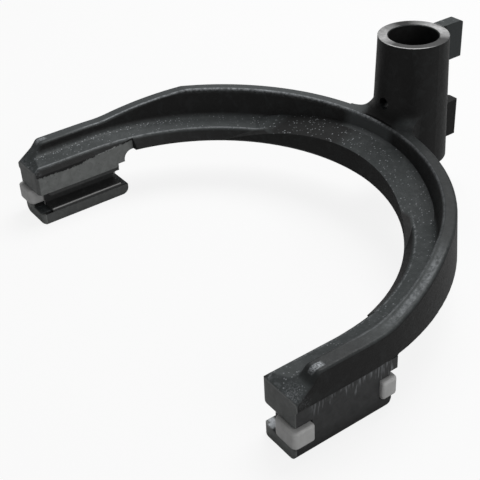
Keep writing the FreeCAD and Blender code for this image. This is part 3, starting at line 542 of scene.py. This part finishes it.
def forging_material(finishes, places):
    """Dark forging skin with blasted specks and worn edges, painted shade and painted highlights, and bare
    steel where it was machined.
    """
    material = bpy.data.materials.new("forging")
    sheet = NodeSheet(material)
    at = ForgingPlace(sheet, places)
    colour = skin_colour(sheet, at, finishes, places)
    # Wear and painted highlights, in the grains' colour.
    wear = wear_and_highlight_mask(sheet, at, places)
    colour = sheet.mix(wear, colour, opaque(finishes.speck_and_highlight))
    faced, milled, bright = foot_masks(sheet, at, places)
    milled_steel, faced_steel = foot_steel(sheet, at, finishes, places, bright)
    colour = sheet.mix(milled, colour, milled_steel)
    colour = sheet.mix(faced, colour, faced_steel)

    machined = sheet.most(milled, faced)
    height = sheet.math("ADD", sheet.product(at.grain, 0.4), at.mottle)
    height = sheet.product(height, sheet.blend(machined, 1.0, 0.25))
    bump = sheet.add("ShaderNodeBump", {"Strength": 0.35, "Distance": 0.3 * MM, "Height": height})
    rough = sheet.blend(machined, sheet.ramp(at.grain, 0.3, 0.7, 0.40, 0.58), 0.42)
    skin = sheet.add("ShaderNodeBsdfPrincipled", {
        "Base Color": colour, "Roughness": rough, "Normal": bump.outputs[0],
        "Metallic": sheet.product(sheet.most(sheet.product(faced, 0.3), wear), 0.5),
        "Specular IOR Level": 0.22})
    mixed = sheet.add("ShaderNodeMixShader", {
        0: ring_mask(sheet, at, places), 1: skin.outputs[0],
        2: ring_shader(sheet, at, finishes, places)})
    sheet.surface("ShaderNodeOutputMaterial", mixed.outputs[0])
    return material


def shoe_material(finishes, places):
    """Light grey moulded plastic, with painted shade darkening its channel."""
    material = bpy.data.materials.new("shoe_plastic")
    sheet = NodeSheet(material)
    place, x, y, z = sheet.place_in_mm()
    clouds = sheet.noise(place, 0.45, 4.0, 0.6)
    grain = sheet.noise(place, 5.0, 3.0, 0.6)
    smear = sheet.ramp(clouds, 0.35, 0.7, 0.0, 0.5)
    side = sheet.math("ABSOLUTE", x)
    lip_x = places.lip_edge / MM
    back_x = places.channel_back / MM
    floor_z = places.notch_floor / MM
    # Painted shade over the channel, sparing the lip's rounded edge, which keeps the plain grey as its
    # highlight.
    past_lip = sheet.ramp(side, lip_x + 0.15, lip_x + 0.45)
    before_back = sheet.ramp(side, back_x + 0.35, back_x + 0.1)
    lip_highlight = sheet.band(z, floor_z + 1.05, floor_z + 1.35, 0.2)
    lip_shade = sheet.other(sheet.product(lip_highlight, 0.8))
    channel = sheet.product(sheet.most(past_lip, lip_shade), before_back, sheet.band(y, *CHANNEL_Y))
    shoe_grey = sheet.mix(smear, opaque(finishes.shoe), opaque(finishes.shoe, 0.72))
    channel_shade = sheet.mix(sheet.ramp(clouds, 0.55, 0.75), opaque(finishes.shoe_channel_shade),
                      opaque(finishes.shoe_channel_shade, 2.2))
    colour = sheet.mix(sheet.product(channel, 0.97), shoe_grey, channel_shade)
    bump = sheet.add("ShaderNodeBump", {"Strength": 0.2, "Distance": 0.1 * MM, "Height": grain})
    principled = sheet.add("ShaderNodeBsdfPrincipled", {
        "Base Color": colour, "Roughness": sheet.ramp(grain, 0.2, 0.8, 0.40, 0.55),
        "Normal": bump.outputs[0], "Specular IOR Level": 0.4})
    sheet.surface("ShaderNodeOutputMaterial", principled.outputs[0])
    return material


def backdrop_material():
    """Pale floor that shows white to the camera and keeps the fork's shadow."""
    material = bpy.data.materials.new("pale_floor")
    sheet = NodeSheet(material)
    seen = sheet.add("ShaderNodeLightPath").outputs["Is Camera Ray"]
    tone = sheet.mix(seen, grey(FLOOR_BOUNCE), grey(FLOOR_TONE))
    diffuse = sheet.add("ShaderNodeBsdfDiffuse", {"Color": tone})
    glow = sheet.add("ShaderNodeEmission", {"Color": WHITE, "Strength": 1.0})
    share = sheet.product(seen, FLOOR_GLOW)
    mixed = sheet.add("ShaderNodeMixShader", {0: share, 1: diffuse.outputs[0], 2: glow.outputs[0]})
    sheet.surface("ShaderNodeOutputMaterial", mixed.outputs[0])
    return material


def dress(node_name, material):
    """Give a node its finish through its material slots."""
    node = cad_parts[node_name]
    if not node.material_slots:
        node.data.materials.append(material)
    for slot in node.material_slots:
        slot.material = material


class FORK_OT_finish_forging(bpy.types.Operator):
    """Give the forging its skin, worn edges, painted light and shade and machined faces"""
    bl_idname = "shift_fork.finish_forging"
    bl_label = "Finish forging"

    def execute(self, context):
        scene = context.scene
        dress(FORK, forging_material(scene.fork_finishes, scene.fork_places))
        return {"FINISHED"}


class FORK_OT_finish_shoes(bpy.types.Operator):
    """Give both wear shoes their moulded finish, with painted shade in their channels"""
    bl_idname = "shift_fork.finish_shoes"
    bl_label = "Finish shoes"

    def execute(self, context):
        material = shoe_material(context.scene.fork_finishes, context.scene.fork_places)
        for name in SHOES:
            dress(name, material)
        return {"FINISHED"}


def area_lamp(name, place, target, size, power):
    lamp = bpy.data.lights.new(name, "AREA")
    lamp.shape = "DISK"
    lamp.size = size
    lamp.energy = power
    holder = bpy.data.objects.new(name, lamp)
    holder.location = place
    holder.rotation_mode = "QUATERNION"
    holder.rotation_quaternion = (Vector(target) - Vector(place)).to_track_quat("-Z", "Y")
    bpy.context.scene.collection.objects.link(holder)


class FORK_OT_set_stage(bpy.types.Operator):
    """Lay the floor, set the soft studio light and place the camera"""
    bl_idname = "shift_fork.set_stage"
    bl_label = "Set stage"

    def execute(self, context):
        scene = context.scene
        settings = scene.fork_view
        scene.view_settings.view_transform = "Standard"
        self.lay_floor(scene)
        self.light_room(scene, settings)
        self.place_camera(scene, settings)
        return {"FINISHED"}

    def lay_floor(self, scene):
        bpy.ops.mesh.primitive_plane_add(size=FLOOR_SIZE, location=(0, 0, CAD_LOW.z))
        floor = bpy.context.active_object
        floor.name = "floor"
        floor.data.materials.append(backdrop_material())

    def light_room(self, scene, settings):
        world = bpy.data.worlds.new("room")
        scene.world = world
        sheet = NodeSheet(world)
        path = sheet.add("ShaderNodeLightPath").outputs
        seen = sheet.most(path["Is Camera Ray"], path["Is Transmission Ray"])
        soft = sheet.add("ShaderNodeBackground", {"Color": WHITE, "Strength": settings.fill})
        white = sheet.add("ShaderNodeBackground", {"Color": WHITE, "Strength": 1.0})
        mixed = sheet.add("ShaderNodeMixShader", {0: seen, 1: soft.outputs[0], 2: white.outputs[0]})
        sheet.surface("ShaderNodeOutputWorld", mixed.outputs[0])
        middle = (CAD_LOW + CAD_HIGH) / 2
        area_lamp("key_lamp", middle + Vector(KEY_PLACE), middle, KEY_SIZE, settings.key_power)
        area_lamp("side_lamp", middle + Vector(SIDE_PLACE), middle, SIDE_SIZE, settings.side_power)

    def place_camera(self, scene, settings):
        camera = bpy.data.cameras.new("camera")
        camera.sensor_width = SENSOR
        camera.lens = SENSOR * settings.focal_pixels / IMAGE_SIZE
        camera.clip_start = NEAR_CLIP
        camera.clip_end = FAR_CLIP
        a, p, r = settings.azimuth, settings.pitch, settings.roll
        ahead = Vector((-math.sin(a) * math.cos(p), math.cos(a) * math.cos(p), -math.sin(p)))
        right = Vector((math.cos(a), math.sin(a), 0))
        up = right.cross(ahead)
        turned_right = right * math.cos(r) + up * math.sin(r)
        turned_up = up * math.cos(r) - right * math.sin(r)
        matrix = Matrix((turned_right, turned_up, -ahead)).transposed().to_4x4()
        matrix.translation = Vector(settings.place)
        holder = bpy.data.objects.new("camera", camera)
        holder.matrix_world = matrix
        scene.collection.objects.link(holder)
        scene.camera = holder


class FORK_PT_panel(bpy.types.Panel):
    bl_idname = "FORK_PT_panel"
    bl_label = "Shift fork"
    bl_space_type = "VIEW_3D"
    bl_region_type = "UI"
    bl_category = "Shift fork"

    def draw(self, context):
        for operator in OPERATORS:
            self.layout.operator(operator.bl_idname)
        for group in (context.scene.fork_finishes, context.scene.fork_places, context.scene.fork_view):
            for name in group.__annotations__:
                self.layout.prop(group, name)


OPERATORS = (FORK_OT_finish_forging, FORK_OT_finish_shoes, FORK_OT_set_stage)
GROUPS = (ForkFinishes, ForkPlaces, ForkView)
CLASSES = (*GROUPS, *OPERATORS, FORK_PT_panel)


def register():
    for item in CLASSES:
        bpy.utils.register_class(item)
    bpy.types.Scene.fork_finishes = PointerProperty(type=ForkFinishes)
    bpy.types.Scene.fork_places = PointerProperty(type=ForkPlaces)
    bpy.types.Scene.fork_view = PointerProperty(type=ForkView)


def unregister():
    del bpy.types.Scene.fork_view
    del bpy.types.Scene.fork_places
    del bpy.types.Scene.fork_finishes
    for item in reversed(CLASSES):
        bpy.utils.unregister_class(item)


def main():
    register()
    bpy.ops.shift_fork.finish_forging()
    bpy.ops.shift_fork.finish_shoes()
    bpy.ops.shift_fork.set_stage()


if __name__ == "__main__":
    main()
